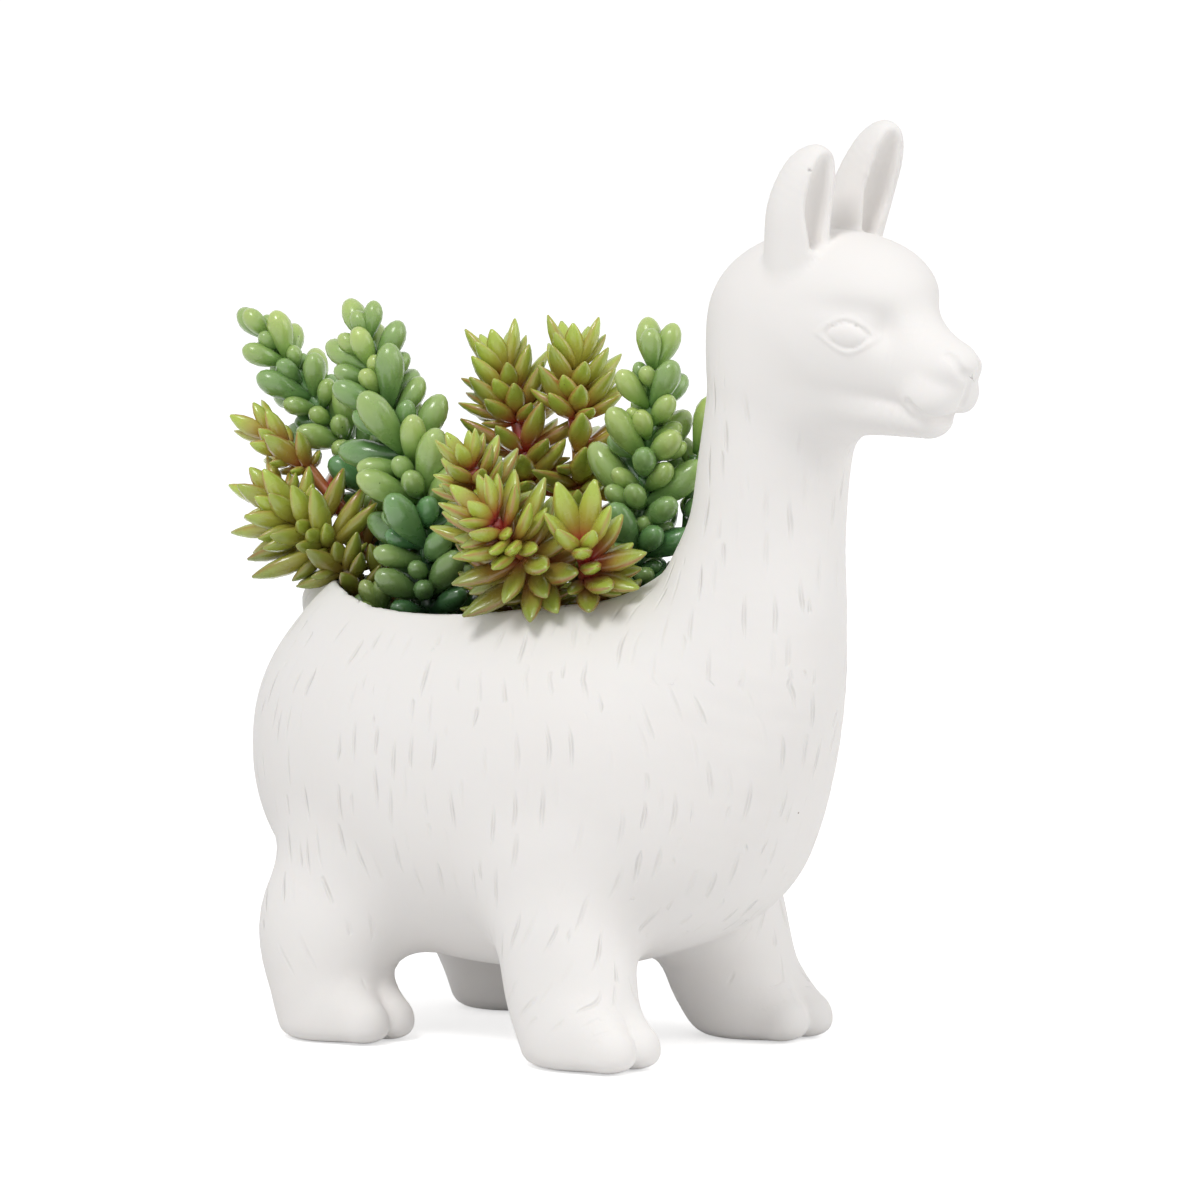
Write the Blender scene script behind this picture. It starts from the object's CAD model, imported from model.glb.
from collections import namedtuple

import bmesh
import bpy
import numpy as np
from mathutils import Matrix, Vector


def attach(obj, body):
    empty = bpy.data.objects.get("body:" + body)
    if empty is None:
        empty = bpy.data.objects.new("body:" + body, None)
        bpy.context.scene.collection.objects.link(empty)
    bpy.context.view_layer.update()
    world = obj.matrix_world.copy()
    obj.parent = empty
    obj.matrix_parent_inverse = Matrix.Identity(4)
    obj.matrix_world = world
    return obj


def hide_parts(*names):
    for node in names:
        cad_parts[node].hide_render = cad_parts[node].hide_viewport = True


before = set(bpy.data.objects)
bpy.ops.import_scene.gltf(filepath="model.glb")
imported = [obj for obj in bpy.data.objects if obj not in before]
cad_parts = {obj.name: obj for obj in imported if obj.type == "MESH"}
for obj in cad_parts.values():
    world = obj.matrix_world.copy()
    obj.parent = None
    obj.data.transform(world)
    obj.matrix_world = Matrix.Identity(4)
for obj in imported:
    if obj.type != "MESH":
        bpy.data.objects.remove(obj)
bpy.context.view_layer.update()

# The view, from the planter's right and a little in front of square, seen from far off through a
# long lens, a little above the height of the mouth. The planter is drawn from a point midway between
# its hooves, which lies this far behind the frame's origin.
set_back = np.array((0.0137, 0, 0))
view_azimuth = np.radians(39)
view_distance = 3.5
view_height = 0.535
view_drop = np.radians(6.95)
view_aside = 0.0107
focal_length = 431.2


def placed(name, data):
    """A new object in the scene that holds some data."""
    made = bpy.data.objects.new(name, data)
    bpy.context.collection.objects.link(made)
    return made


right = np.array((np.cos(view_azimuth), np.sin(view_azimuth), 0))
back = np.array((np.sin(view_azimuth), -np.cos(view_azimuth), 0))
ahead = -back * np.cos(view_drop) - np.array((0, 0, np.sin(view_drop)))
camera_data = bpy.data.cameras.new("camera")
camera_data.lens = focal_length
camera_data.sensor_width = 36
camera_data.clip_end = 20
camera = placed("camera", camera_data)
turned = Matrix([Vector(right), Vector(np.cross(right, ahead)), Vector(-ahead)]).transposed()
seat = back * view_distance + (0, 0, view_height) + right * view_aside - set_back
camera.matrix_world = Matrix.Translation(Vector(seat)) @ turned.to_4x4()
bpy.context.scene.camera = camera
bpy.context.scene.view_settings.view_transform = "Standard"


# The studio: a plain pale floor that keeps the planter's shadow, a white surround, one broad soft
# lamp above the left shoulder of the camera and a weaker one on its right. Floor and surround show
# white to the camera and in reflections, over what they give as light.
floor_half = 3.0
floor_tone = 0.85
floor_white = 0.56
surround_light = 0.6
surround_white = 0.45


def material(name):
    """A new material with its node tree and its Principled shader."""
    made = bpy.data.materials.new(name)
    made.use_nodes = True
    return made, made.node_tree, made.node_tree.nodes["Principled BSDF"]


def plug(tree, made, inputs):
    """Gives a node its input values and its incoming links."""
    for key, value in inputs.items():
        if isinstance(value, bpy.types.NodeSocket):
            tree.links.new(value, made.inputs[key])
        else:
            made.inputs[key].default_value = value


def node(tree, kind, inputs=None, **settings):
    """A new node of a tree, with its settings and its inputs."""
    made = tree.nodes.new(kind)
    for key, value in settings.items():
        setattr(made, key, value)
    plug(tree, made, inputs or {})
    return made


def maths(tree, operation, first, second):
    """The result of one step of arithmetic."""
    return node(tree, "ShaderNodeMath", {0: first, 1: second}, operation=operation).outputs[0]


def lit_white(tree, strength):
    """Strength of the white that only the camera and reflections see."""
    path = node(tree, "ShaderNodeLightPath").outputs
    seen = maths(tree, "MAXIMUM", path["Is Camera Ray"], path["Is Glossy Ray"])
    seen = maths(tree, "MAXIMUM", seen, path["Is Transmission Ray"])
    return maths(tree, "MULTIPLY", seen, strength)


floor_mesh = bpy.data.meshes.new("floor")
floor_mesh.from_pydata([(-floor_half, -floor_half, 0), (floor_half, -floor_half, 0),
                        (floor_half, floor_half, 0), (-floor_half, floor_half, 0)], [], [(0, 1, 2, 3)])
floor = placed("floor", floor_mesh)
paper, tree, shader = material("studio_paper")
plug(tree, shader, {"Base Color": (floor_tone, floor_tone, floor_tone, 1), "Roughness": 0.9,
                    "Specular IOR Level": 0, "Emission Color": (1, 1, 1, 1),
                    "Emission Strength": lit_white(tree, floor_white)})
floor_mesh.materials.append(paper)

surround = bpy.data.worlds.new("surround")
surround.use_nodes = True
tree = surround.node_tree
shown = maths(tree, "ADD", lit_white(tree, surround_white), surround_light)
plug(tree, tree.nodes["Background"], {"Color": (1, 1, 1, 1), "Strength": shown})
bpy.context.scene.world = surround


def lamp(name, place, aim, size, power):
    """A square soft lamp at a place, turned to face a point."""
    data = bpy.data.lights.new(name, "AREA")
    data.size = size
    data.energy = power
    made = placed(name, data)
    made.matrix_world = (Matrix.Translation(Vector(place))
                         @ (Vector(aim) - Vector(place)).to_track_quat("-Z", "Y").to_matrix().to_4x4())


lamp("key_lamp", back * 0.95 - right * 0.5 + (0, 0, 1.5), (0, 0, 0.1), 0.55, 12)
lamp("fill_lamp", back * 0.4 + right * 1.3 + (0, 0, 0.7), (0, 0, 0.1), 0.9, 5)


# The llama: one slip-cast shell of unglazed white bisque. Barrel, neck, head, legs, ears and tail
# run into each other in soft fillets, so the shell is worked out as one level surface of a distance
# function, in millimetres, and every vertex is then moved onto it.

# A run or a toe is a limb: rows of a centre along, across and up, and of half sizes across and along.
# Skull, brow, nose and lip are ellipsoids, each a centre and its half sizes.
barrel_centre = np.array((-7.5, 0, 69))
barrel_half = np.array((78.5, 47.5, 51.5))
fullness = 2.2
cast_wall = 5.0
well_floor = 27.0
mouth_half = np.array((50.0, 33.0))
mouth_centre = np.array((-13.0, 0.0))
neck_run = ((44, 0, 60, 27, 26), (53, 0, 86, 28.5, 28.5), (60.5, 0, 108, 23.2, 24),
            (65.5, 0, 128, 19.3, 19.5), (68.3, 0, 148, 18.5, 18.5), (72, 0, 166, 19, 19))
skull = ((82.6, 0, 181.5), (31.2, 21, 23))
brow = ((94.1, 0, 189.5), (20, 17, 14))
muzzle_run = ((96, 0, 175.5, 14, 13), (108, 0, 174.6, 11.8, 12.4), (118.2, 0, 171.6, 9.2, 10))
jaw_run = ((86, 0, 166, 14, 11.5), (100, 0, 164, 11.5, 8), (115.5, 0, 161.2, 7, 5))
nose = ((121.8, 0, 174.2), (7, 8.4, 5.5))
lip = ((118.9, 4.5, 167.2), (6.4, 6.3, 5.8))
rump_rise, rump_breadth = 3.4, 40
rump_place, rump_spread = (-54, 112), (15, 12)
foreleg_run = ((22, 27, 46, 17, 20), (27, 30, 30, 16, 17), (30, 31, 18, 15.5, 16.5),
               (34, 33, 8, 14.5, 15))
hind_leg_run = ((-41, 26, 40, 17, 20), (-46, 31, 27, 16.5, 19), (-45, 33, 14, 15, 15),
                (-43, 33.5, 6, 14.5, 14))
fore_toe = ((38, 28.4, 7.5, 8.2, 10.5), (47.5, 29, 4.8, 6.8, 7))
hind_toe = ((-37, 28.4, 7, 8, 9.5), (-29.5, 29.2, 4.6, 6.4, 6.8))
toe_spread = 9.6
tail_run = ((-66, 0, 98, 7, 7), (-75, 0, 103, 5, 5))
ear_run = ((82.6, 11, 190, 8.2, 6.6), (83.8, 11.5, 203, 8.8, 7), (85, 11.8, 211, 8.6, 7),
           (87.6, 11.6, 218.2, 7.4, 6), (89.6, 11.2, 221.8, 5.2, 4.4), (90.3, 11, 222.4, 3.8, 3.2))
# The groove of an ear, by rows of the ear: how far it stands forward, and its half sizes as shares.
ear_groove = ((7, 0.4, 0.28), (6.6, 0.58, 0.48), (6, 0.62, 0.52), (5, 0.62, 0.5), (3.4, 0.5, 0.42))
# An ear's tilt: its root forward, its tip forward and its tip up. The left ear stands taller.
ear_tilt = {-1: (0, 0, 0), 1: (-3.2, 3.5, 4.4)}
ear_turn = {-1: np.radians(-12), 1: np.radians(20)}
ear_foot, ear_length = 192, 30
# The oval shaft of the mouth reaches down to its foot. Further than its reach from a limb, the
# distance to it isn't worked out and counts as far off.
shaft_foot = 40
limb_reach, far_off = 14, 30.0
neck_fillet, leg_fillet, toe_fillet, tail_fillet, head_fillet = 13, 10, 4, 8, 8
brow_fillet, face_fillet, lip_fillet, jaw_fillet, nose_fillet = 5, 5, 2.5, 1.4, 1.8
ear_fillet, ear_edge, well_fillet, rim_edge, sole_edge = 1.4, 2.2, 6, 1.8, 4


def smooth_line(rows, count):
    """Cubic curve through every row: each stretch is the Catmull-Rom blend of its four neighbours."""
    rows = np.asarray(rows, float)
    ends = np.vstack([2 * rows[0] - rows[1], rows, 2 * rows[-1] - rows[-2]])
    run = np.linspace(0, len(rows) - 1, count)
    i = np.minimum(run.astype(int), len(rows) - 2)
    f = (run - i)[:, None]
    a, b, c, d = ends[i], ends[i + 1], ends[i + 2], ends[i + 3]
    square, cube = 2 * a - 5 * b + 4 * c - d, 3 * b - a - 3 * c + d
    return 0.5 * (2 * b + (c - a) * f + square * f ** 2 + cube * f ** 3)


def rounded(p, centre, half):
    """Distance to an ellipsoid: k0 (k0 - 1) / k1, with k0 = |q / half| and k1 = |q / half squared|."""
    q, half = p - np.asarray(centre, float), np.asarray(half, float)
    k0 = np.linalg.norm(q / half, axis=1)
    return k0 * (k0 - 1) / (np.linalg.norm(q / half ** 2, axis=1) + 1e-9)


def limb(p, rows, count, wide=(0, 1, 0)):
    """Distance to an oval tube along a curve: the least, over its short runs, of the distance to the
    ellipsoid whose half sizes are those of the run at the foot of the perpendicular."""
    line = smooth_line(rows, count)
    centres, across, deep = line[:, :3], line[:, 3], line[:, 4]
    reach = np.maximum(across, deep)[:, None]
    low, high = (centres - reach).min(0) - limb_reach, (centres + reach).max(0) + limb_reach
    near = np.all((p > low) & (p < high), axis=1)
    found = np.full(len(p), far_off)
    q = p[near]
    best = np.full(len(q), far_off)
    for i in range(count - 1 if len(q) else 0):
        run = centres[i + 1] - centres[i]
        t = np.clip((q - centres[i]) @ run / (run @ run), 0, 1)
        way = run / np.linalg.norm(run)
        side = np.asarray(wide, float) - np.dot(wide, way) * way
        side /= np.linalg.norm(side)
        off = q - centres[i] - t[:, None] * run
        a = across[i] + (across[i + 1] - across[i]) * t
        b = deep[i] + (deep[i + 1] - deep[i]) * t
        e = np.minimum(a, b)
        u, v, w = off @ side, off @ np.cross(way, side), off @ way
        k0 = np.sqrt((u / a) ** 2 + (v / b) ** 2 + (w / e) ** 2)
        k1 = np.sqrt((u / a ** 2) ** 2 + (v / b ** 2) ** 2 + (w / e ** 2) ** 2) + 1e-9
        best = np.minimum(best, k0 * (k0 - 1) / k1)
    found[near] = best
    return found


def join(a, b, fillet):
    """Union with a fillet: the lesser distance, less a parabola where the two are alike."""
    h = np.maximum(fillet - np.abs(a - b), 0) / fillet
    return np.minimum(a, b) - h * h * fillet / 4


def cut(a, b, fillet):
    """What is left of a outside b, with its edge rounded."""
    return -join(-a, b, fillet)


def swell(p, centre, half, fullness):
    """Distance to a superellipsoid: (g - 1) / g times the way to its centre."""
    q = p - centre
    g = (np.abs(q / half) ** fullness).sum(1) ** (1 / fullness)
    return np.minimum((g - 1) / np.maximum(g, 1e-6) * np.linalg.norm(q, axis=1), 40)


def mirrored(p):
    """Points with those of the right side brought over to the left."""
    return p * (1, 0, 1) + np.abs(p) * (0, 1, 0)


def near_line(p, line, width):
    """Bell of the distance to a line through points: exp(-(distance / width) squared)."""
    best = np.full(len(p), 1e3)
    for a, b in zip(line, line[1:]):
        t = np.clip((p - a) @ (b - a) / ((b - a) @ (b - a)), 0, 1)
        best = np.minimum(best, np.linalg.norm(p - a - t[:, None] * (b - a), axis=1))
    return np.exp(-(best / width) ** 2)


def bare(p):
    """Distance in millimetres to body, legs, head and ears, less than zero in the clay."""
    m = mirrored(p)
    d = swell(p, barrel_centre, barrel_half, fullness)
    off = ((p[:, ::2] - rump_place) ** 2 / np.square(rump_spread)).sum(1)
    d -= rump_rise * np.exp(-off - (p[:, 1] / rump_breadth) ** 2)
    d = join(d, limb(p, neck_run, 28), neck_fillet)
    for leg, toe in ((foreleg_run, fore_toe), (hind_leg_run, hind_toe)):
        d = join(d, limb(m, leg, 20), leg_fillet)
        toes = limb(m, toe, 6)
        spread = np.array(toe, float)
        spread[:, 1] += toe_spread
        d = join(d, np.minimum(toes, limb(m, spread, 6)), toe_fillet)
    head = join(rounded(p, *skull), rounded(p, *brow), brow_fillet)
    face = join(limb(p, muzzle_run, 14), rounded(m, *lip), lip_fillet)
    face = join(join(face, limb(p, jaw_run, 14), jaw_fillet), rounded(p, *nose), nose_fillet)
    d = join(d, join(head, face, face_fillet), head_fillet)
    d = join(d, limb(p, tail_run, 10), tail_fillet)
    for side in (-1, 1):
        rows, groove = np.array(ear_run), np.array(ear_groove)
        up = np.maximum(rows[:, 2] - ear_foot, 0) / ear_length
        rows[:, 1] *= side
        base, tip, rise = ear_tilt[side]
        rows[:, 0] += (1 - up) * base + up * tip
        rows[:, 2] += up * rise
        facing = np.array((np.cos(ear_turn[side]), -side * np.sin(ear_turn[side]), 0))
        hollow = rows[1:].copy()
        hollow[:, :3] += facing * groove[:, :1]
        hollow[:, 3:] *= groove[:, 1:]
        ear = cut(limb(p, rows, 20, facing), limb(p, hollow, 16, facing), ear_edge)
        d = join(d, ear, ear_fillet)
    return d


probe, least_slope, longest_move = 0.05, 0.05, 1.5


def settled(points, rounds, shape):
    """Points moved onto the zero level of a shape along the slope of its distance, by Newton's rule."""
    nudges = np.eye(3) * probe
    for k in range(rounds):
        value = shape(points)
        slope = np.stack([(shape(points + e) - shape(points - e)) / (2 * probe) for e in nudges], 1)
        move = np.clip(value / np.maximum((slope ** 2).sum(1), least_slope), -longest_move, longest_move)
        points = points - move[:, None] * slope
    return points, slope / np.maximum(np.linalg.norm(slope, axis=1), 1e-6)[:, None]


def drawn_on(rows):
    """A smooth curve through points, moved onto the bare casting."""
    return settled(smooth_line(rows, 6 * len(rows)), 4, bare)[0]


eye_centre = np.array((102.9, 16.3, 181.6))
eye_way = np.array((0.86, -0.51, 0.0))
eye_out = np.array((0.51, 0.86, 0.0))
eye_half = (4.8, 2.95)
eye_fall, eye_point, lid_turn = 0.07, 0.4, 1.5
crease_at, crease_width = 1.05, 0.17
lid_at, lid_width = 1.4, 0.25
# The face is all that lies in front of and above its low corner and below its height.
face_low, face_high = (88, 150), 200
# Each hollow: its depth, its middle and its spread, forward and up from the eye.
brow_hollow = (1.2, (1, 6), (9, 3))
tear_hollow = (2.0, (8.6, 1.6), (3.6, 4))
nostril = drawn_on(((125.4, 5.6, 177.4), (126.4, 4.9, 176), (126.8, 4, 174.4), (127, 2.6, 173.1),
                    (127.4, 0.6, 171.9)))
philtrum = drawn_on(((127.4, 0, 171.8), (127, 0, 169.6), (126.4, 0, 167), (125.4, 0, 165)))
mouth_line = drawn_on(((117, 9.6, 165.2), (118.4, 8.6, 163.6), (119.8, 7.2, 162.2), (120.8, 5.2, 161.2),
                       (121.4, 2.8, 160.9), (121.6, 0, 161.2)))
# Each groove: the line that it follows, its depth and its width in millimetres.
face_grooves = ((nostril, 2.4, 1.0), (philtrum, 1.3, 0.8), (mouth_line, 3.0, 1.2))


def hollow_of(s, t, deep, middle, spread):
    """A soft hollow: depth times exp(-(sum of squares of the ways from its middle over its spread))."""
    return deep * np.exp(-((s - middle[0]) / spread[0]) ** 2 - ((t - middle[1]) / spread[1]) ** 2)


def modelling(m):
    """How far the hand modelling of the face stands proud, for points mirrored onto one side: an
    eyeball dome in an almond crease between two lids, a hollow under the brow, and incised nostril,
    lip parting and mouth."""
    raised = np.zeros(len(m))
    near = (m[:, 0] > face_low[0]) & (m[:, 2] > face_low[1]) & (m[:, 2] < face_high)
    p = m[near]
    if not len(p):
        return raised
    s = (p - eye_centre) @ eye_way
    t = p[:, 2] - eye_centre[2] + eye_fall * s
    side = np.exp(-np.maximum(np.abs((p - eye_centre) @ eye_out) - 3, 0) ** 2 / 4)
    almond = 1 + eye_point * (s / eye_half[0]) ** 2
    q = np.sqrt((s / eye_half[0]) ** 2 + (t / eye_half[1] * almond) ** 2)
    high = 1 / (1 + np.exp(-t * lid_turn))
    r = np.maximum(1 - q ** 2, 0) ** 0.75
    r -= (0.05 + 0.3 * high) * np.exp(-((q - crease_at) / crease_width) ** 2)
    r += (0.42 - 0.2 * high) * np.exp(-((q - lid_at) / lid_width) ** 2)
    r -= hollow_of(s, t, *brow_hollow)
    r -= hollow_of(s, t, *tear_hollow)
    raised[near] = r * side - sum(deep * near_line(p, line, width) for line, deep, width in face_grooves)
    return raised


def over_mouth(p, wider=0):
    """Way from the middle of the mouth as a share of its half sizes, or of sizes that much wider."""
    return np.linalg.norm((p[:, :2] - mouth_centre) / (mouth_half + wider), axis=1)


def cast(p):
    """Distance in millimetres to the whole casting, less than zero in the clay."""
    d = bare(p) - modelling(mirrored(p))
    across = (over_mouth(p) - 1) * mouth_half[1]
    shaft = np.maximum(across, shaft_foot - p[:, 2])
    inner = swell(p, barrel_centre, barrel_half - cast_wall, fullness)
    well = -join(-inner, p[:, 2] - well_floor, well_fillet)
    return cut(cut(d, np.minimum(well, shaft), rim_edge), p[:, 2], sole_edge)


def lattice_surface(low, high, step):
    """Quads round the zero level: each cell that the surface crosses has one vertex, at the mean of
    the crossings on its edges, and each crossed edge has one quad through its four cells. The shape
    is worked out on every fourth point first, then on every point within nine steps of its surface."""
    count = np.ceil((np.array(high) - low) / step).astype(int) + 1
    count += (4 - (count - 1) % 4) % 4
    axes = [low[k] + step * np.arange(count[k]) for k in range(3)]
    coarse = np.stack(np.meshgrid(*(a[::4] for a in axes), indexing="ij"), -1)
    rough = cast(coarse.reshape(-1, 3)).reshape(coarse.shape[:3])
    near = np.abs(rough) < step * 9
    field = rough
    for k in range(3):
        near, field = near.repeat(4, axis=k), field.repeat(4, axis=k)
    near, field = (x[1:-2, 1:-2, 1:-2] for x in (near, field))
    fine = np.stack(np.meshgrid(*axes, indexing="ij"), -1)
    pad = [(0, n - m) for n, m in zip(fine.shape[:3], near.shape)]
    near, field = np.pad(near, pad, mode="edge"), np.pad(field, pad, mode="edge").copy()
    field[near] = cast(fine[near])
    inside = field < 0
    total = np.zeros(tuple(count - 1) + (3,))
    crossings = np.zeros(tuple(count - 1))
    part = (slice(0, -1), slice(1, None))
    for axis in range(3):
        others = [k for k in range(3) if k != axis]
        for one in (0, 1):
            for two in (0, 1):
                lower, upper = [None] * 3, [None] * 3
                lower[axis], upper[axis] = part
                lower[others[0]] = upper[others[0]] = part[one]
                lower[others[1]] = upper[others[1]] = part[two]
                a, b = field[tuple(lower)], field[tuple(upper)]
                crossed = (a < 0) != (b < 0)
                place = np.zeros(a.shape + (3,))
                place[..., axis] = np.where(crossed, a / np.where(crossed, a - b, 1), 0)
                place[..., others[0]], place[..., others[1]] = one, two
                total += place * crossed[..., None]
                crossings += crossed
    cells = crossings > 0
    index = np.full(cells.shape, -1)
    index[cells] = np.arange(cells.sum())
    points = (np.argwhere(cells) + total[cells] / crossings[cells][:, None]) * step + low
    quads = []
    for axis in range(3):
        first, second = (axis + 1) % 3, (axis + 2) % 3
        lower, upper = [slice(None)] * 3, [slice(None)] * 3
        lower[axis], upper[axis] = part
        edges = np.argwhere(inside[tuple(lower)] != inside[tuple(upper)])
        outward = inside[tuple(edges.T)]
        corner = []
        for one, two in ((-1, -1), (0, -1), (0, 0), (-1, 0)):
            cell = edges.copy()
            cell[:, first] += one
            cell[:, second] += two
            corner.append(index[tuple(cell.T)])
        quad = np.stack(corner, 1)
        quad[~outward] = quad[~outward][:, ::-1]
        quads.append(quad)
    return points, np.vstack(quads)


def divided(points, faces, wanted):
    """Splits every edge whose middle is wanted, and each triangle into two, three or four, so that
    fine and coarse triangles meet without cracks."""
    edges = np.sort(np.vstack([faces[:, [0, 1]], faces[:, [1, 2]], faces[:, [2, 0]]]), axis=1)
    unique, which = np.unique(edges, axis=0, return_inverse=True)
    which = which.reshape(-1)
    middle = (points[unique[:, 0]] + points[unique[:, 1]]) / 2
    split = wanted(middle)
    number = np.where(split, len(points) + np.cumsum(split) - 1, -1)
    mid = number[which].reshape(3, -1).T
    points = np.vstack([points, middle[split]])
    how_many = (mid >= 0).sum(1)
    made = [faces[how_many == 0]]
    f, m = faces[how_many == 3], mid[how_many == 3]
    made += [np.stack(t, 1) for t in ((f[:, 0], m[:, 0], m[:, 2]), (f[:, 1], m[:, 1], m[:, 0]),
                                      (f[:, 2], m[:, 2], m[:, 1]), (m[:, 0], m[:, 1], m[:, 2]))]
    for k in range(3):
        chosen = (how_many == 1) & (mid[:, k] >= 0)
        f, m = np.roll(faces[chosen], -k, axis=1), np.roll(mid[chosen], -k, axis=1)
        made += [np.stack((f[:, 0], m[:, 0], f[:, 2]), 1), np.stack((m[:, 0], f[:, 1], f[:, 2]), 1)]
        chosen = (how_many == 2) & (mid[:, k] < 0)
        f, m = np.roll(faces[chosen], -k, axis=1), np.roll(mid[chosen], -k, axis=1)
        made += [np.stack((f[:, 2], m[:, 2], m[:, 1]), 1), np.stack((f[:, 0], f[:, 1], m[:, 2]), 1),
                 np.stack((f[:, 1], m[:, 1], m[:, 2]), 1)]
    return points, np.vstack(made)


# Where the mesh of the casting is refined, in millimetres, but the rim's band is in shares of the mouth.
toe_top, toe_inside, fore_toe_rear = 17, 20, 36
hind_toe_middle, hind_toe_reach = -33, 10
rim_band, rim_low, rim_front = (0.95, 1.12), 98, 44
head_low, head_rear, ear_low = 156, 76, 203
eye_window, eye_inside = (9, 5.5), 9
muzzle_rear, muzzle_low, muzzle_top = 108, 157.5, 178


def fine_parts(p):
    """The head, the ears, the toes and the rim of the mouth."""
    reach = over_mouth(p)
    toes = (p[:, 0] > fore_toe_rear) | (np.abs(p[:, 0] - hind_toe_middle) < hind_toe_reach)
    toes &= (p[:, 2] < toe_top) & (np.abs(p[:, 1]) > toe_inside)
    rim = (reach > rim_band[0]) & (reach < rim_band[1]) & (p[:, 2] > rim_low) & (p[:, 0] < rim_front)
    return toes | rim | ((p[:, 2] > head_low) & (p[:, 0] > head_rear)) | (p[:, 2] > ear_low)


def finest_parts(p):
    """The eyes, nostrils and mouth."""
    m = mirrored(p)
    s, t = (m - eye_centre) @ eye_way, m[:, 2] - eye_centre[2]
    eye = (np.abs(s) < eye_window[0]) & (np.abs(t) < eye_window[1]) & (m[:, 1] > eye_inside)
    return eye | ((m[:, 0] > muzzle_rear) & (m[:, 2] > muzzle_low) & (m[:, 2] < muzzle_top))


casting_low = np.array((-92.0, -52.0, -3.0))
casting_high = np.array((134.0, 52.0, 232.0))
step = 1.7
points, quads = lattice_surface(casting_low, casting_high, step)
points = settled(points, 2, cast)[0]
faces = np.vstack([quads[:, [0, 1, 2]], quads[:, [0, 2, 3]]])
for wanted in (fine_parts, finest_parts):
    points, faces = divided(points, faces, wanted)
points, outward = settled(points, 2, cast)
points[:, 2] = np.maximum(points[:, 2], 0)

# The nap: the modelling tool's strokes run down the wool, round the haunches towards the belly. Each
# vertex keeps which way its strokes run, and how far the wool covers it.
shell = bpy.data.meshes.new("llama_casting")
shell.from_pydata((points / 1000 - set_back).tolist(), [], faces.tolist())
shell.shade_smooth()
nap_swirl, most_lean = 1.5, 1.1
back_height, back_share = 95, 0.6
lean = (points - barrel_centre) / barrel_half
lean = nap_swirl * lean[:, 0] * lean[:, 2]
lean = np.where(points[:, 2] > back_height, np.minimum(lean, 0) * back_share, lean)
lay = np.stack([np.clip(lean, -most_lean, most_lean), np.zeros(len(points)), -np.ones(len(points))], 1)
lay -= (lay * outward).sum(1)[:, None] * outward
lay /= np.maximum(np.linalg.norm(lay, axis=1), 1e-3)[:, None]


def ramp(x, start, end):
    """Smooth rise from 0 at start to 1 at end."""
    t = np.clip((x - start) / (end - start), 0, 1)
    return t * t * (3 - 2 * t)


# The wool: none on flat tops and undersides, the hooves, the lip of the mouth and the smooth face.
wool_steepness, hoof_band, lip_band = (0.35, 0.6), (8, 16), (0.98, 1.12)
lip_width, face_band, face_slant, face_hinge = 4, (158, 176), 0.8, 70
wool = ramp(np.abs(outward[:, :2]).max(1), *wool_steepness) * ramp(points[:, 2], *hoof_band)
wool *= ramp(over_mouth(points, lip_width), *lip_band)
wool *= 1 - ramp(points[:, 2] + face_slant * (points[:, 0] - face_hinge), *face_band)
shell.attributes.new("nap_way", "FLOAT_VECTOR", "POINT").data.foreach_set(
    "vector", lay.astype("f").ravel())
shell.attributes.new("wool", "FLOAT", "POINT").data.foreach_set("value", wool.astype("f"))
llama = placed("llama_casting", shell)


def vector_maths(tree, operation, first, second=None):
    """The result of one step of vector arithmetic: a number for a length or a dot product."""
    made = node(tree, "ShaderNodeVectorMath", {0: first}, operation=operation)
    if second is not None:
        plug(tree, made, {"Scale" if operation == "SCALE" else 1: second})
    return made.outputs["Value" if operation in ("LENGTH", "DOT_PRODUCT") else "Vector"]


def blend(tree, share, first, second):
    """A colour that runs from the first to the second as the share rises from 0 to 1."""
    return node(tree, "ShaderNodeMix", {0: share, 6: first, 7: second}, data_type="RGBA").outputs[2]


def remap(tree, value, span, to, **settings):
    """A value carried from one span to another and held at its ends."""
    return node(tree, "ShaderNodeMapRange", {"Value": value, 1: span[0], 2: span[1], 3: to[0], 4: to[1]},
                **settings).outputs[0]


def object_place(tree):
    """The place on a piece, in metres."""
    return node(tree, "ShaderNodeTexCoord").outputs["Object"]


def noise(tree, place, scale, detail=2):
    """Cloudy noise, from about 0 to 1."""
    made = node(tree, "ShaderNodeTexNoise", {"Vector": place, "Scale": scale, "Detail": detail})
    return made.outputs["Fac"]


def bump(tree, height, strength, distance, over=None, **settings):
    """The normal of a surface that rises with a height, over another such normal where one is given."""
    made = node(tree, "ShaderNodeBump", {"Strength": strength, "Distance": distance, "Height": height},
                **settings)
    if over is not None:
        plug(tree, made, {"Normal": over})
    return made.outputs[0]


# The bisque: strokes lie one to a cell of a drifting grid, each turned along the nap, under the soft
# unevenness of hand finishing and the grain of sanded clay. A few dark motes are fired into it.
# Cells are so many to the metre and so large in millimetres, and a stroke fades out as these shares of
# the millimetres along and across it add up to one.
cells_per_metre = (160, 160, 72)
cell_sizes = (6.25, 6.25, 13.9)
fade_along, fade_across = 0.15, 1.2
stroke_depth = 0.00036
bisque, tree, shader = material("white_bisque")
place = object_place(tree)
drift = node(tree, "ShaderNodeTexNoise", {"Vector": place, "Scale": 60, "Detail": 1}).outputs["Color"]
drift = vector_maths(tree, "SCALE", vector_maths(tree, "SUBTRACT", drift, (0.5, 0.5, 0.5)), 0.003)
cells = vector_maths(tree, "MULTIPLY", vector_maths(tree, "ADD", drift, place), cells_per_metre)
grid = {"Vector": cells, "Scale": 1, "Randomness": 0.85}
stroke = node(tree, "ShaderNodeTexVoronoi", grid)
border = node(tree, "ShaderNodeTexVoronoi", grid, feature="DISTANCE_TO_EDGE")
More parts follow.
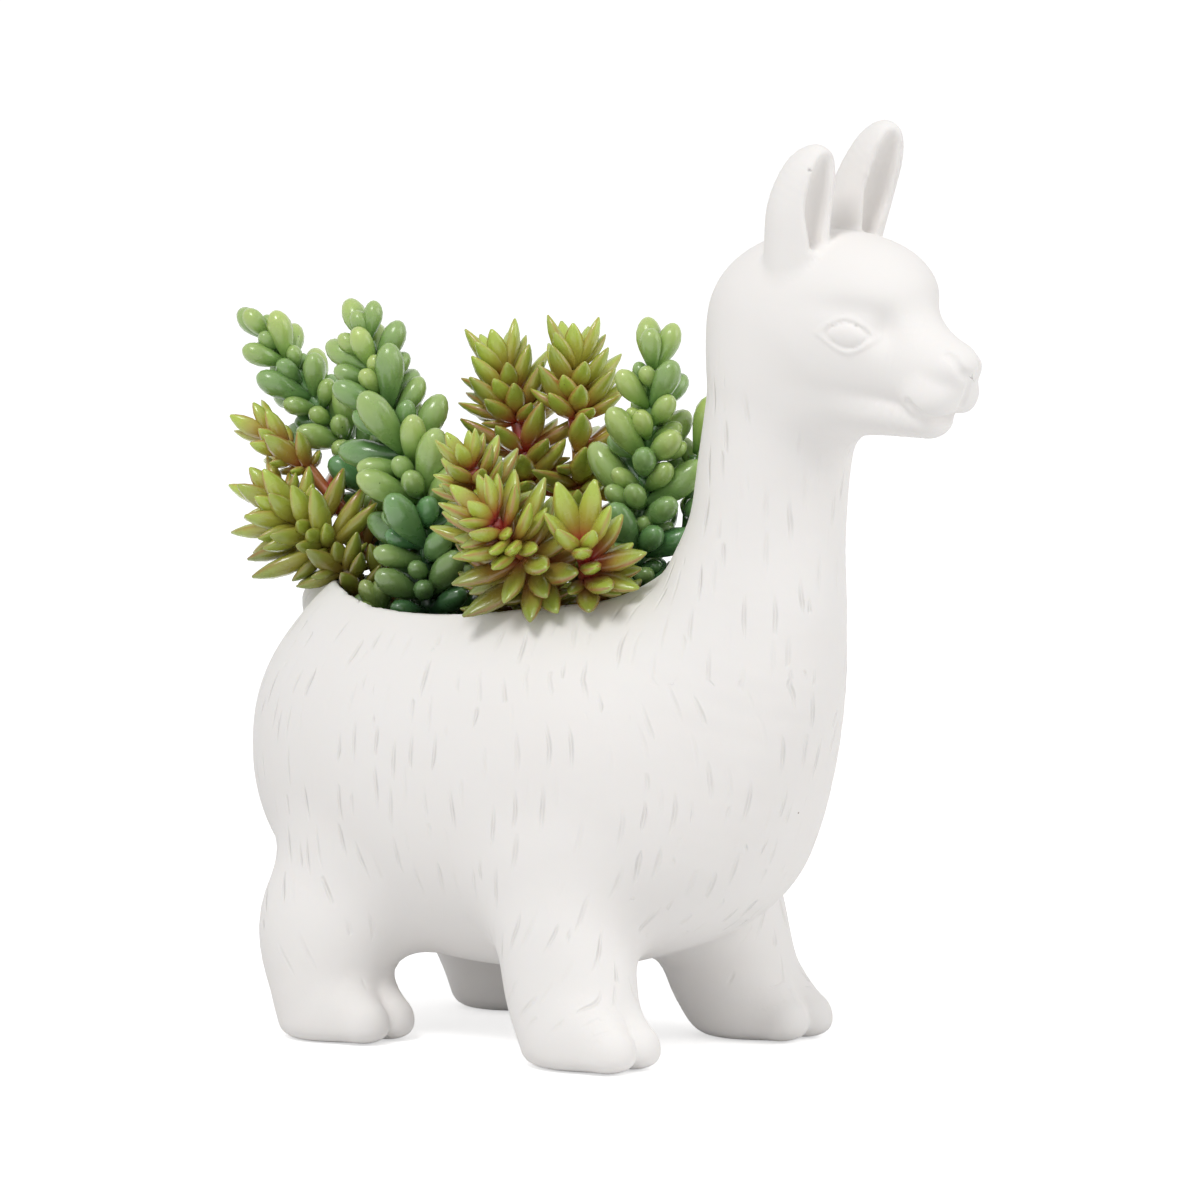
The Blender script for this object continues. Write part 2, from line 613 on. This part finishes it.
off = vector_maths(tree, "MULTIPLY", vector_maths(tree, "SUBTRACT", cells, stroke.outputs["Position"]),
                   cell_sizes)
normal = node(tree, "ShaderNodeNewGeometry").outputs["Normal"]
nap = node(tree, "ShaderNodeAttribute", attribute_name="nap_way").outputs["Vector"]
along = vector_maths(tree, "DOT_PRODUCT", off, nap)
aside = vector_maths(tree, "DOT_PRODUCT", off, vector_maths(tree, "CROSS_PRODUCT", normal, nap))
oval = node(tree, "ShaderNodeCombineXYZ", {0: maths(tree, "MULTIPLY", along, fade_along),
                                           1: maths(tree, "MULTIPLY", aside, fade_across)})
groove = remap(tree, vector_maths(tree, "LENGTH", oval.outputs[0]), (0, 1), (1, 0),
               interpolation_type="SMOOTHSTEP")
edge = remap(tree, border.outputs["Distance"], (0.01, 0.09), (0, 1), interpolation_type="SMOOTHSTEP")
chance = node(tree, "ShaderNodeSeparateColor", {0: stroke.outputs["Color"]}).outputs[0]
wool_here = node(tree, "ShaderNodeAttribute", attribute_name="wool").outputs["Fac"]
depth = maths(tree, "MULTIPLY", groove, edge)
depth = maths(tree, "MULTIPLY", depth, remap(tree, chance, (0.1, 0.8), (0, 1)))
depth = maths(tree, "MULTIPLY", depth, wool_here)
carved = bump(tree, depth, 1, stroke_depth, invert=True)
pressed = bump(tree, noise(tree, place, 90), 0.5, 0.0004, carved)
grain = noise(tree, place, 2600, 3)
sanded = bump(tree, grain, 0.35, 0.00004, pressed)
clay = blend(tree, noise(tree, place, 22, 4), (0.84, 0.81, 0.785, 1), (0.88, 0.865, 0.85, 1))
dusted = blend(tree, depth, clay, (0.825, 0.8, 0.775, 1))
motes = node(tree, "ShaderNodeTexVoronoi", {"Vector": place, "Scale": 75})
mote_size = node(tree, "ShaderNodeSeparateColor", {0: motes.outputs["Color"]}).outputs[1]
mote_size = remap(tree, mote_size, (0.8, 1.0), (0, 0.035))
mote = maths(tree, "LESS_THAN", motes.outputs["Distance"], mote_size)
specked = blend(tree, mote, dusted, (0.25, 0.2, 0.17, 1))
plug(tree, shader, {"Base Color": specked, "Normal": sanded,
                    "Roughness": remap(tree, grain, (0, 1), (0.62, 0.8)),
                    "Specular IOR Level": 0.3, "Subsurface Weight": 0.08,
                    "Subsurface Radius": (0.002, 0.0015, 0.001)})
shell.materials.append(bisque)
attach(llama, "planter")
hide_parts("planter_body")

# The foam: a block of dark green floral foam, cut to pass the mouth and stand on the well's floor.
# It is brittle and open-celled, dusty where the knife crushed its pores. The solid is the CAD's own.
foam_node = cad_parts["foam_block"]
foam, tree, shader = material("floral_foam")
place = object_place(tree)
pores = node(tree, "ShaderNodeTexVoronoi", {"Vector": place, "Scale": 1500})
cell = blend(tree, pores.outputs["Distance"], (0.008, 0.022, 0.01, 1), (0.03, 0.07, 0.032, 1))
worn = blend(tree, noise(tree, place, 120, 5), cell, (0.02, 0.045, 0.022, 1))
plug(tree, shader, {"Base Color": worn, "Normal": bump(tree, pores.outputs["Distance"], 0.8, 0.0003),
                    "Roughness": 0.95, "Specular IOR Level": 0.1})
foam_node.material_slots[0].material = foam

# How the sprigs stand: each is a wire in the foam with moulded tiers threaded on it. A row is one
# station: place along and across the mouth as shares of its half sizes, height over the foam as a
# share of the tallest spray, then leaf count, leaf length share and lean from the stalk in degrees.
green_sprigs = {
    "green_sprig_1": (
        (-0.62, 0.12, 0, 3, 0.9, 62),
        (-0.74, 0.2, 0.25, 4, 1.0, 64),
        (-0.88, 0.24, 0.46, 4, 1.0, 62),
        (-1.12, 0.18, 0.63, 4, 0.9, 60),
        (-1.3, 0.1, 0.77, 4, 0.8, 56),
        (-1.44, 0.05, 0.88, 4, 0.72, 48),
        (-1.56, 0, 0.98, 3, 0.62, 24),
    ),
    "green_sprig_2": (
        (-0.34, -0.36, 0, 3, 0.9, 62),
        (-0.35, -0.38, 0.2, 4, 1.05, 66),
        (-0.36, -0.38, 0.36, 4, 1.1, 66),
        (-0.38, -0.36, 0.5, 4, 1.1, 64),
        (-0.48, -0.32, 0.64, 4, 1.05, 60),
        (-0.62, -0.29, 0.77, 4, 0.9, 54),
        (-0.73, -0.27, 0.89, 4, 0.8, 46),
        (-0.81, -0.24, 1.01, 3, 0.75, 22),
    ),
    "green_sprig_3": (
        (0.58, 0.18, 0, 3, 0.9, 62),
        (0.6, 0.24, 0.2, 4, 1.0, 62),
        (0.62, 0.27, 0.36, 4, 1.05, 64),
        (0.64, 0.29, 0.5, 4, 1.05, 62),
        (0.66, 0.31, 0.64, 4, 0.9, 58),
        (0.67, 0.33, 0.8, 4, 0.78, 50),
        (0.68, 0.36, 0.96, 3, 0.7, 24),
    ),
    "green_sprig_4": (
        (0.66, 0.45, 0, 3, 0.9, 62),
        (0.7, 0.52, 0.2, 4, 1.0, 62),
        (0.74, 0.58, 0.37, 4, 1.0, 60),
        (0.78, 0.62, 0.55, 4, 0.9, 55),
        (0.8, 0.64, 0.7, 3, 0.8, 26),
    ),
    "green_sprig_5": (
        (-0.54, -0.48, 0, 4, 0.9, 62),
        (-0.56, -0.5, 0.1, 4, 0.9, 50),
        (-0.57, -0.5, 0.19, 2, 0.8, 25),
    ),
}
red_sprigs = {
    "red_sprig_1": (
        (-0.66, -0.3, 0, 5, 1.0, 60),
        (-0.78, -0.35, 0.22, 6, 1.2, 80),
        (-0.98, -0.4, 0.37, 7, 1.4, 84),
        (-1.14, -0.42, 0.44, 7, 1.2, 64),
        (-1.28, -0.42, 0.5, 5, 0.9, 34),
    ),
    "red_sprig_2": (
        (-0.58, -0.12, 0, 4, 1.0, 60),
        (-0.74, -0.14, 0.24, 5, 1.1, 62),
        (-0.98, -0.18, 0.46, 6, 1.2, 70),
        (-1.2, -0.24, 0.6, 6, 1.0, 62),
        (-1.4, -0.28, 0.69, 5, 0.8, 34),
    ),
    "red_sprig_3": (
        (0.5, -0.42, 0, 5, 1.0, 60),
        (0.52, -0.55, 0.2, 6, 1.3, 80),
        (0.53, -0.76, 0.38, 7, 1.5, 92),
        (0.52, -0.97, 0.47, 7, 1.2, 68),
        (0.48, -1.14, 0.55, 5, 1.0, 34),
    ),
    "red_sprig_4": (
        (0.3, -0.36, 0, 5, 1.0, 60),
        (0.3, -0.52, 0.24, 6, 1.2, 70),
        (0.28, -0.7, 0.45, 7, 1.2, 74),
        (0.26, -0.85, 0.59, 7, 1.0, 60),
        (0.24, -0.96, 0.69, 5, 0.8, 32),
    ),
    "red_sprig_5": (
        (0.62, -0.18, 0, 5, 1.0, 60),
        (0.68, -0.36, 0.2, 6, 1.3, 76),
        (0.76, -0.58, 0.36, 7, 1.4, 72),
        (0.82, -0.74, 0.46, 6, 1.2, 36),
    ),
    "red_sprig_6": (
        (-0.06, 0.3, 0, 4, 1.0, 60),
        (-0.1, 0.39, 0.3, 6, 1.3, 76),
        (-0.18, 0.48, 0.56, 7, 1.4, 76),
        (-0.28, 0.55, 0.76, 7, 1.2, 60),
        (-0.36, 0.55, 0.9, 5, 1.0, 32),
    ),
    "red_sprig_7": (
        (0.14, 0.42, 0, 4, 1.0, 60),
        (0.12, 0.52, 0.3, 6, 1.3, 74),
        (0.08, 0.61, 0.56, 7, 1.4, 76),
        (0.04, 0.64, 0.78, 7, 1.2, 60),
        (0.02, 0.67, 0.93, 5, 1.0, 32),
    ),
}
foam_top = 88.0
spray_height = 80.0
stalk_radius = 2.2
leaf_gap = 0.5
# Leaves sway in and out by turns and vary in length. A ring that stands further up its run leans
# closer to the stalk and is smaller. A leaf that doesn't fit is trimmed in steps, its girth less so.
leaf_sway, leaf_variety = 7, 0.06
ring_lift, ring_shrink = 14, 0.25
trim_shares, girth_power = (1, 0.86, 0.72, 0.58), 0.7
turns_tried = 7
# Balls of a stalk less than this many stations from a leaf are the leaf's own, and a ball further off
# than the furthest can't touch it. The skew is a way that no stalk runs.
own_reach, furthest = 1.2, 26.0
skew = (0.31, 0.95, 0.05)
# A kind of leaf: length and radius, balls along it as shares of the two, where its rings stand on a
# run, runs to a moulding, degrees that it droops, and how far it may press into its own sprig.
Kind = namedtuple("Kind", "length radius shares rings runs droop press")
bean = Kind(19.0, 3.9, ((0.12, 0.5), (0.3, 0.72), (0.48, 0.95), (0.66, 1.0), (0.8, 0.93), (0.9, 0.72)),
            (0.3,), 1, 0, 0)
petal = Kind(14.0, 2.3, ((0.12, 0.55), (0.3, 0.85), (0.5, 1.0), (0.66, 0.9), (0.8, 0.6), (0.92, 0.3)),
             (0.1, 0.55), 2, 0, 0)
small_bean = Kind(13.5, 3.0, bean.shares, (0.0, 0.35, 0.7), 1, 10, 1.6)
small_petal = Kind(11.5, 2.0, petal.shares, (0.0, 0.33, 0.66), 2, 16, 1.2)
# The neck that leaves keep clear of: its places forward and up as shares of the head's, and its half
# depth as a share of the throat's.
head_forward, head_height, head_ball, throat_depth = 83.5, 181, 22, 18.5
balls_per_run = 6
throat_rows = (
    (0.48, 0.23, 1.0), (0.56, 0.34, 1.43), (0.635, 0.475, 1.56), (0.715, 0.597, 1.42),
    (0.785, 0.707, 1.07), (0.818, 0.818, 1.0), (0.862, 0.917, 1.03), (0.94, 1.0, 0.95))


def unit(vector):
    """The vector at length one."""
    return vector / np.linalg.norm(vector)


def station(row):
    """The place of one station of a sprig in millimetres."""
    return np.array((*(mouth_centre + np.array(row[:2]) * mouth_half), foam_top + row[2] * spray_height))


def neck_balls():
    """Balls that fill the neck and the back of the head, spread over each run between its sections."""
    rows = [(x * head_forward, 0, z * head_height, deep * throat_depth) for x, z, deep in throat_rows]
    rows = np.array(rows + [(head_forward, 0, head_height, head_ball)])
    share = np.arange(balls_per_run)[:, None, None] / (balls_per_run - 1)
    return (rows[:-1] + (rows[1:] - rows[:-1]) * share).transpose(1, 0, 2).reshape(-1, 4)


def clears_pot(places, radii, neck):
    """Whether balls stand clear of the foam, and of the barrel and neck unless over the mouth."""
    room = radii + leaf_gap
    if np.any(places[:, 2] - room < foam_top):
        return False
    off = places[:, :2] - mouth_centre
    inside = (off[:, 0] / (mouth_half[0] - room)) ** 2 + (off[:, 1] / (mouth_half[1] - room)) ** 2 < 1
    local = places - barrel_centre
    reach = (np.abs(local / barrel_half) ** fullness).sum(1) ** (1 / fullness)
    away = (reach - 1) / reach * np.linalg.norm(local, axis=1)
    gaps = np.linalg.norm(places[:, None] - neck[None, :, :3], axis=2) - neck[:, 3]
    return bool(np.all(inside | ((away > room) & (gaps.min(1) > room))))


class Thicket:
    """Every ball placed so far, with the sprig and station that own it."""

    def __init__(self):
        self.places, self.radii, self.owners = np.zeros((0, 3)), np.zeros(0), np.zeros((0, 2))

    def add(self, places, radii, sprig, along):
        """Adds balls of one owner."""
        self.places = np.vstack((self.places, places))
        self.radii = np.append(self.radii, radii)
        self.owners = np.vstack((self.owners, np.tile((sprig, along), (len(radii), 1))))

    def clears(self, places, radii, skip):
        """Whether balls stand apart from every ball placed so far but those to skip."""
        near = ~skip & (np.abs(self.places - places.mean(0)).max(1) < furthest)
        apart = np.linalg.norm(places[:, None] - self.places[near], axis=2)
        return not np.any(apart < radii[:, None] + self.radii[near] + leaf_gap)


class Leaf:
    """One leaf: its base, the way it points, the stalk's way there, its length and its radius, and
    balls along it that stand for its bulk."""

    def __init__(self, base, way, axis, length, radius, shares, height):
        self.base, self.way, self.axis = base, way, axis
        self.length, self.radius, self.height = length, radius, height
        self.places = base + np.outer([a * length for a, r in shares], way)
        self.radii = radius * np.array([r for a, r in shares])

    def clears(self, other):
        """Whether the outer balls of two leaves of one ring stand apart."""
        apart = np.linalg.norm(self.places[3:, None] - other.places[None, 3:], axis=2)
        return bool(np.all(apart > self.radii[3:, None] + other.radii[None, 3:]))


def mouldings(count, runs):
    """Which stations belong to each moulding: as many runs each as stated, the tip with the last."""
    return [(start, min(start + runs, count - 1)) for start in range(0, count - 1, runs)]


def ringed(kind, row, i, height, spot, run, ring, fits):
    """The fullest ring of leaves round one place on a stalk: the ring is turned in steps, and each of
    its leaves is trimmed until it fits."""
    axis = unit(run)
    side = unit(np.cross(axis, skew))
    other = np.cross(axis, side)
    best = []
    for turn in range(turns_tried):
        got = []
        for k in range(row[3]):
            around = 2 * np.pi * (k + turn / turns_tried) / row[3]
            sway = 0 if height == 1 else leaf_sway * (-1) ** (k + i)
            lean = np.radians(row[5] + sway + kind.droop - ring_lift * ring)
            out = side * np.cos(around) + other * np.sin(around)
            way = axis * np.cos(lean) + out * np.sin(lean)
            for trim in trim_shares:
                share = row[4] * trim * (1 - ring_shrink * ring)
                share *= 1 + leaf_variety * ((k * 7 + i * 3) % 5 - 2)
                leaf = Leaf(spot + run * ring, way, axis, kind.length * share,
                            kind.radius * share ** girth_power, kind.shares, height)
                if fits(leaf) and all(leaf.clears(g) for g in got):
                    got.append(leaf)
                    break
        if sum(g.length for g in got) > sum(g.length for g in best):
            best = got
    return best


def grow(sprigs, kind, stalks, leaves, neck, first):
    """Sets rings of leaves up each sprig, each clear of the pot, the stalks and what grew before."""
    grown = {}
    for sprig, (name, rows) in enumerate(sprigs.items(), first):
        spots = [station(row) for row in rows]
        for group, (start, end) in enumerate(mouldings(len(rows), kind.runs)):
            grown[name, group] = []
            for i in range(start, end + (end == len(rows) - 1)):
                height = i / (len(rows) - 1)
                tip = height == 1
                run = spots[i] - spots[i - 1] if tip else spots[i + 1] - spots[i]
                own_stalk = (stalks.owners[:, 0] == sprig) & (np.abs(stalks.owners[:, 1] - i) < own_reach)
                for ring in (0,) if tip else kind.rings:
                    same_tier = (leaves.owners[:, 1] == group + 0.5) | (kind.press > 0)
                    own_leaf = (leaves.owners[:, 0] == sprig) & same_tier

                    def fits(leaf):
                        """Whether a leaf stands clear, but for its first balls, which meet the stalk."""
                        return (clears_pot(leaf.places[1:], leaf.radii[1:], neck)
                                and stalks.clears(leaf.places[2:], leaf.radii[2:], own_stalk)
                                and leaves.clears(leaf.places[1:], leaf.radii[1:], own_leaf)
                                and leaves.clears(leaf.places[3:], leaf.radii[3:] - kind.press,
                                                  ~own_leaf))

                    best = ringed(kind, rows[i], i, height, spots[i], run, ring, fits)
                    for leaf in best:
                        leaves.add(leaf.places, leaf.radii, sprig, group + 0.5)
                    grown[name, group] += best
    return grown


stalks, leaves, neck = Thicket(), Thicket(), neck_balls()
for sprig, rows in enumerate([*green_sprigs.values(), *red_sprigs.values()]):
    spots = [station(row) for row in rows]
    for i, (a, b) in enumerate(zip(spots, spots[1:])):
        for k in range(balls_per_run):
            place, along = a + (b - a) * k / balls_per_run, i + k / balls_per_run
            stalks.add(np.array([place]), np.array([stalk_radius]), sprig, along)
beans = grow(green_sprigs, bean, stalks, leaves, neck, 0)
petals = grow(red_sprigs, petal, stalks, leaves, neck, len(green_sprigs))

# Young leaves crowd the gaps of each sprig, smaller and drooping more, and press into their elders.
for found, sprigs, kind, first in ((beans, green_sprigs, small_bean, 0),
                                   (petals, red_sprigs, small_petal, len(green_sprigs))):
    for key, more in grow(sprigs, kind, stalks, leaves, neck, first).items():
        found[key] += more


def group_of(name, inputs, outputs):
    """A shader node group with named inputs and outputs, and its two end nodes."""
    made = bpy.data.node_groups.new(name, "ShaderNodeTree")
    for label, kind, value in inputs:
        socket = made.interface.new_socket(label, in_out="INPUT", socket_type="NodeSocket" + kind)
        if value is not None:
            socket.default_value = value
    for label, kind in outputs:
        made.interface.new_socket(label, in_out="OUTPUT", socket_type="NodeSocket" + kind)
    return made, made.nodes.new("NodeGroupInput"), made.nodes.new("NodeGroupOutput")


def leaf_group():
    """Shading shared by both kinds of leaf: mottling between two colours, a few dark specks, and the
    gloom down in the pot."""
    made, start, end = group_of("leaf_mottle", (("Light", "Color", None), ("Dark", "Color", None),
                                                ("Speck", "Color", None), ("Density", "Float", 0.5)),
                                (("Color", "Color"), ("Height", "Float"), ("Gloss", "Float")))
    place = object_place(made)
    cloud = noise(made, place, 230, 3)
    mixed = blend(made, cloud, start.outputs["Dark"], start.outputs["Light"])
    spots = node(made, "ShaderNodeTexVoronoi", {"Vector": place, "Scale": 420})
    chance = node(made, "ShaderNodeSeparateColor", {0: spots.outputs["Color"]}).outputs[0]
    size = maths(made, "MULTIPLY", remap(made, chance, (0.72, 1), (0, 0.24)), start.outputs["Density"])
    dot = remap(made, spots.outputs["Distance"], (maths(made, "MULTIPLY", size, 0.5), size), (0.8, 0))
    dot = maths(made, "MULTIPLY", dot, maths(made, "GREATER_THAN", size, 0.01))
    dotted = blend(made, dot, mixed, start.outputs["Speck"])
    rise = node(made, "ShaderNodeSeparateXYZ", {0: place}).outputs[2]
    dimmed = vector_maths(made, "SCALE", dotted, remap(made, rise, (0.09, 0.128), (0.22, 1)))
    plug(made, end, {"Color": dimmed, "Height": noise(made, place, 900),
                     "Gloss": remap(made, cloud, (0.3, 0.7), (0.2, 0.36))})
    return made


mottle = leaf_group()


def skinned(tree, shader, colour, dark_share, dark, speck, density):
    """Gives a vinyl its mottled colour, its gloss and its fine pitting, under a thin clear coat."""
    skin = node(tree, "ShaderNodeGroup", {"Light": colour, "Dark": blend(tree, dark_share, colour, dark),
                                          "Speck": speck, "Density": density}, node_tree=mottle).outputs
    plug(tree, shader, {"Base Color": skin["Color"], "Roughness": skin["Gloss"],
                        "Normal": bump(tree, skin["Height"], 0.4, 0.0001), "Coat Weight": 0.4})


def leaf_mark(tree):
    """The mark that each leaf's mesh carries: share along the leaf, nearness to its sides, and age."""
    mark = node(tree, "ShaderNodeAttribute", attribute_name="leaf_place").outputs["Vector"]
    return node(tree, "ShaderNodeSeparateXYZ", {0: mark}).outputs


leaf_sunk, age_variety = 0.45, 0.35
stem_sides, stem_rings, stem_girth, stem_ripple = 10, 6, 0.8, 0.12


def tapered(leaf, profile, sides, width, depth, bend, furrow):
    """A leaf as a grid of rings: centre base + way s + up bend s squared, ring point across times
    width r cos(a) plus up times depth r (sin(a) less a furrow in its upper face). Each point has a
    mark for its colour."""
    s, r = np.array(profile).T
    a = 2 * np.pi * np.arange(sides) / sides
    up = leaf.axis - leaf.axis @ leaf.way * leaf.way
    up = unit(up) if np.linalg.norm(up) > 1e-3 else unit(np.cross(leaf.way, (0.3, 0.9, 0.1)))
    across = np.cross(leaf.way, up)
    begin = stalk_radius * leaf_sunk / leaf.length
    s = begin + s * (1 - begin)
    centre = leaf.base + np.outer(s * leaf.length, leaf.way) + np.outer(bend * leaf.length * s ** 2, up)
    lift = np.sin(a) - furrow * np.maximum(np.sin(a), 0) ** 2
    ring = np.outer(width * np.cos(a), across) + np.outer(depth * lift, up)
    points = centre[:, None] + leaf.radius * r[:, None, None] * ring[None]
    mark = np.zeros(points.shape)
    mark[..., 0] = s[:, None]
    mark[..., 1] = np.abs(np.cos(a))[None]
    chance = np.sin(leaf.base @ (1.7, 2.3, 0.9) + leaf.way @ (5, 9, 4))
    mark[..., 2] = np.clip(leaf.height + age_variety * chance, 0, 1)
    return points, mark


def stem(spots, start, end):
    """The stalk of one moulding: a ring carried up the smooth line of the whole sprig, its radius
    rising and falling by a cosine from station to station."""
    line = smooth_line(spots, stem_rings * (len(spots) - 1) + 1)[start * stem_rings:end * stem_rings + 1]
    way = np.gradient(line, axis=0)
    way /= np.linalg.norm(way, axis=1)[:, None]
    side = np.cross(way, skew)
    side /= np.linalg.norm(side, axis=1)[:, None]
    other = np.cross(way, side)
    a = 2 * np.pi * np.arange(stem_sides) / stem_sides
    ripple = np.cos(2 * np.pi * np.arange(len(line)) / stem_rings)
    swollen = stalk_radius * (stem_girth + stem_ripple * ripple)
    ring = side[:, None] * np.cos(a)[None, :, None] + other[:, None] * np.sin(a)[None, :, None]
    points = line[:, None] + swollen[:, None, None] * ring
    mark = np.zeros(points.shape)
    mark[..., 2] = start / len(spots)
    return points, mark


def moulding(name, grids, finish):
    """One tier as a mesh: every grid of rings closed at both ends by a fan to the mean of its ring."""
    points, marks, faces, count = [], [], [], 0
    for grid, mark in grids:
        rings, sides = grid.shape[:2]
        index = count + np.arange(rings * sides).reshape(rings, sides)
        turned = np.roll(index, -1, axis=1)
        faces += np.stack([index[:-1], turned[:-1], turned[1:], index[1:]], -1).reshape(-1, 4).tolist()
        base, tip = count + rings * sides, count + rings * sides + 1
        faces += np.stack([turned[0], index[0], np.full(sides, base)], 1).tolist()
        faces += np.stack([index[-1], turned[-1], np.full(sides, tip)], 1).tolist()
        points += [grid.reshape(-1, 3), grid[[0, -1]].mean(1)]
        marks += [mark.reshape(-1, 3), mark[[0, -1]].mean(1)]
        count += rings * sides + 2
    mesh = bpy.data.meshes.new(name)
    mesh.from_pydata((np.vstack(points) / 1000 - set_back).tolist(), [], faces)
    mesh.attributes.new("leaf_place", "FLOAT_VECTOR", "POINT").data.foreach_set(
        "vector", np.vstack(marks).astype("f").ravel())
    built = bmesh.new()
    built.from_mesh(mesh)
    bmesh.ops.recalc_face_normals(built, faces=built.faces)
    built.to_mesh(mesh)
    built.free()
    mesh.shade_smooth()
    mesh.materials.append(finish)
    piece = placed(name + "_leaves", mesh)
    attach(piece, "plant_insert")
    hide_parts(name)


def moulded(sprigs, kind, grown, leaf_of, finish):
    """Every moulding of a group of sprigs, each a stem with its leaves."""
    for name, rows in sprigs.items():
        spots = [station(row) for row in rows]
        for group, (start, end) in enumerate(mouldings(len(rows), kind.runs)):
            grids = [stem(spots, start, end)] + [leaf_of(leaf) for leaf in grown[name, group]]
            moulding(f"{name}_tier_{group + 1}", grids, finish)


# The green sprigs: plump glossy jelly-bean leaves in soft vinyl, in whorls of three or four. Old
# leaves low down are blue-green, young ones pale yellow-green at the tip.
bean_profile = ((0, 0.36), (0.1, 0.48), (0.25, 0.68), (0.42, 0.9), (0.58, 1.02), (0.74, 0.99),
                (0.87, 0.78), (0.95, 0.5), (0.99, 0.2))
vinyl, tree, shader = material("green_vinyl")
along, _, age = leaf_mark(tree)
old = blend(tree, along, (0.03, 0.13, 0.06, 1), (0.14, 0.33, 0.12, 1))
young = blend(tree, along, (0.22, 0.42, 0.1, 1), (0.56, 0.68, 0.2, 1))
aged = blend(tree, age, old, young)
skinned(tree, shader, aged, 0.3, (0.04, 0.14, 0.04, 1), (0.03, 0.04, 0.015, 1), 0.6)
plug(tree, shader, {"Subsurface Weight": 0.3, "Subsurface Radius": (0.002, 0.003, 0.001),
                    "Coat Roughness": 0.12})


def bean_leaf(leaf):
    """A jelly bean: nearly round, and barely curled."""
    return tapered(leaf, bean_profile, sides=10, width=1.0, depth=0.94, bend=0.07, furrow=0)


moulded(green_sprigs, bean, beans, bean_leaf, vinyl)

# The red sprigs: small pointed leaves in dense rosettes, moulded in yellow-green vinyl and brushed
# with red at their bases and along their edges.
petal_profile = ((0, 0.5), (0.14, 0.66), (0.32, 0.92), (0.52, 1.04), (0.72, 0.84), (0.88, 0.46),
                 (0.97, 0.14))
blush, tree, shader = material("red_vinyl")
along, aside, age = leaf_mark(tree)
brushed = remap(tree, along, (0.18, 0.8), (1, 0))
rim = remap(tree, aside, (0.75, 1), (0, 0.7))
uneven = remap(tree, noise(tree, object_place(tree), 45), (0.35, 0.6), (0.35, 1))
stain = maths(tree, "MULTIPLY", maths(tree, "MAXIMUM", brushed, rim), uneven)
leafy = blend(tree, age, (0.3, 0.36, 0.05, 1), (0.5, 0.64, 0.09, 1))
stained = blend(tree, stain, leafy, (0.5, 0.045, 0.05, 1))
skinned(tree, shader, stained, 0.25, (0.25, 0.2, 0.03, 1), (0.16, 0.03, 0.02, 1), 0.5)
plug(tree, shader, {"Subsurface Weight": 0.25, "Subsurface Radius": (0.0025, 0.002, 0.0008),
                    "Coat Roughness": 0.14})


def petal_leaf(leaf):
    """A pointed leaf: broader than deep, curled, with a furrow down its upper face."""
    return tapered(leaf, petal_profile, sides=8, width=1.12, depth=0.8, bend=0.1, furrow=0.35)


moulded(red_sprigs, petal, petals, petal_leaf, blush)

# The wires: thin florist's wire in a dull green enamel, one pushed into the foam under each sprig.
enamel, tree, shader = material("enamelled_wire")
scuffs = noise(tree, object_place(tree), 700, 4)
scraped = remap(tree, scuffs, (0.62, 0.7), (0, 1))
coat = blend(tree, scraped, (0.03, 0.09, 0.04, 1), (0.35, 0.35, 0.33, 1))
plug(tree, shader, {"Base Color": coat, "Metallic": scraped,
                    "Roughness": remap(tree, scuffs, (0, 1), (0.35, 0.6))})
for name in [*green_sprigs, *red_sprigs]:
    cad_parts[name + "_wire"].material_slots[0].material = enamel
